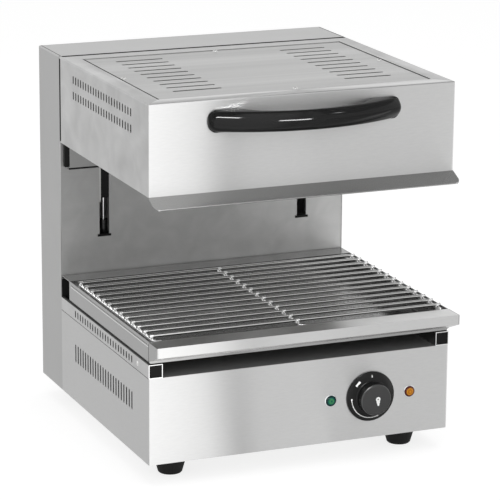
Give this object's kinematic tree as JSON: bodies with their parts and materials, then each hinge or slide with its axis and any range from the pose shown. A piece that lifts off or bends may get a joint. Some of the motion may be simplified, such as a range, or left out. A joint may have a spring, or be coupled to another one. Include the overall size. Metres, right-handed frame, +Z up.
{
  "type": "cheese melter",
  "caption": "Countertop cheese melter: a grill head slides up and down a rear column over a wire rack in a pull-out drip tray, on a base with a control knob and two lamps.",
  "frame": {"origin": "on the ground under the middle of the object's box", "axes": "+Z up; the front with the knob and the handle faces -Y; +X is to the right as seen from the front"},
  "size_m": [0.452, 0.521, 0.5315],
  "materials": {
    "panel_steel": "brushed stainless",
    "plate_steel": "brushed stainless, grain along its length",
    "visor_steel": "polished stainless, dark from heat",
    "tray_steel": "smooth stainless",
    "inner_steel": "plain sheet",
    "deck_enamel": "black enamel",
    "reflector_steel": "aluminised, slightly heat tinted",
    "rack_wire": "bright plated wire",
    "fastener_steel": "bright zinc plated",
    "rod_steel": "ground and hard chromed",
    "bezel_chrome": "polished",
    "strut_black": "black enamel",
    "slider_alloy": "milled",
    "bush_bronze": "sintered bronze",
    "stud_brass": "plain brass",
    "element_sheath": "heat darkened sheath",
    "insulation_wool": "ceramic wool blanket",
    "foot_rubber": "matt black",
    "handle_black": "polished moulding",
    "knob_black": "satin moulding with a white scale",
    "lamp_green": "clear lens",
    "lamp_amber": "clear lens",
    "control_plastic": "thermoset",
    "gland_black": "nylon",
    "pad_black": "nylon"
  },
  "bodies": {
    "cabinet": {"base_wrap": "panel_steel", "base_floor": "inner_steel", "base_deck": "deck_enamel", "rail_left": "panel_steel", "rail_right": "panel_steel", "rail_plugs": "pad_black", "rail_glides": "pad_black", "rail_rivets": "fastener_steel", "foot_front_left": "foot_rubber", "foot_front_right": "foot_rubber", "foot_rear_left": "foot_rubber", "foot_rear_right": "foot_rubber", "foot_screws": "fastener_steel", "lamp_bezels": "bezel_chrome", "power_lamp": "lamp_green", "heat_lamp": "lamp_amber", "energy_regulator": "control_plastic", "regulator_nut": "fastener_steel", "terminal_block": "control_plastic", "cable_gland": "gland_black", "bonding_stud": "stud_brass", "column_shell": "panel_steel", "wall_panel": "inner_steel", "slot_stops": "pad_black", "rear_cover": "inner_steel", "rear_cover_screws": "fastener_steel", "cross_brackets": "inner_steel", "guide_rod_left": "rod_steel", "guide_rod_right": "rod_steel", "strut_cylinder_left": "strut_black", "strut_cylinder_right": "strut_black", "column_nuts": "fastener_steel"},
    "head": {"strut_rod_left": "rod_steel", "strut_rod_right": "rod_steel", "strut_top_nuts": "fastener_steel", "arm_left": "inner_steel", "arm_right": "inner_steel", "arm_glides": "pad_black", "carriage_plate": "inner_steel", "sliders": "slider_alloy", "slider_bushes": "bush_bronze", "slot_guards": "inner_steel", "glide_pads": "pad_black", "head_front_panel": "panel_steel", "head_left_panel": "panel_steel", "head_right_panel": "panel_steel", "head_rear_panel": "panel_steel", "top_plate": "plate_steel", "top_plate_screws": "fastener_steel", "visor": "visor_steel", "handle": "handle_black", "head_screws": "fastener_steel", "reflector": "reflector_steel", "insulation": "insulation_wool", "heating_elements": "element_sheath", "element_holders": "inner_steel"},
    "tray": {"drip_tray": "tray_steel"},
    "rack": {"wire_rack": "rack_wire"},
    "control": {"knob": "knob_black", "regulator_shaft": "rod_steel"}
  },
  "joints": [
    {"name": "head_lift", "type": "slide", "parent": "cabinet", "child": "head", "axis": [0, 0, 1], "range_m": [-0.14, 0]},
    {"name": "tray_slide", "type": "slide", "parent": "cabinet", "child": "tray", "axis": [0, -1, 0], "range_m": [0, 0.4]},
    {"name": "rack_lift", "type": "slide", "parent": "tray", "child": "rack", "axis": [0, 0, 1], "range_m": [0, 0.03]},
    {"name": "knob_turn", "type": "hinge", "parent": "cabinet", "child": "control", "pos_m": [0.1047, -0.2, 0.0915], "axis": [0, 1, 0], "range_deg": [0, 270]}
  ]
}
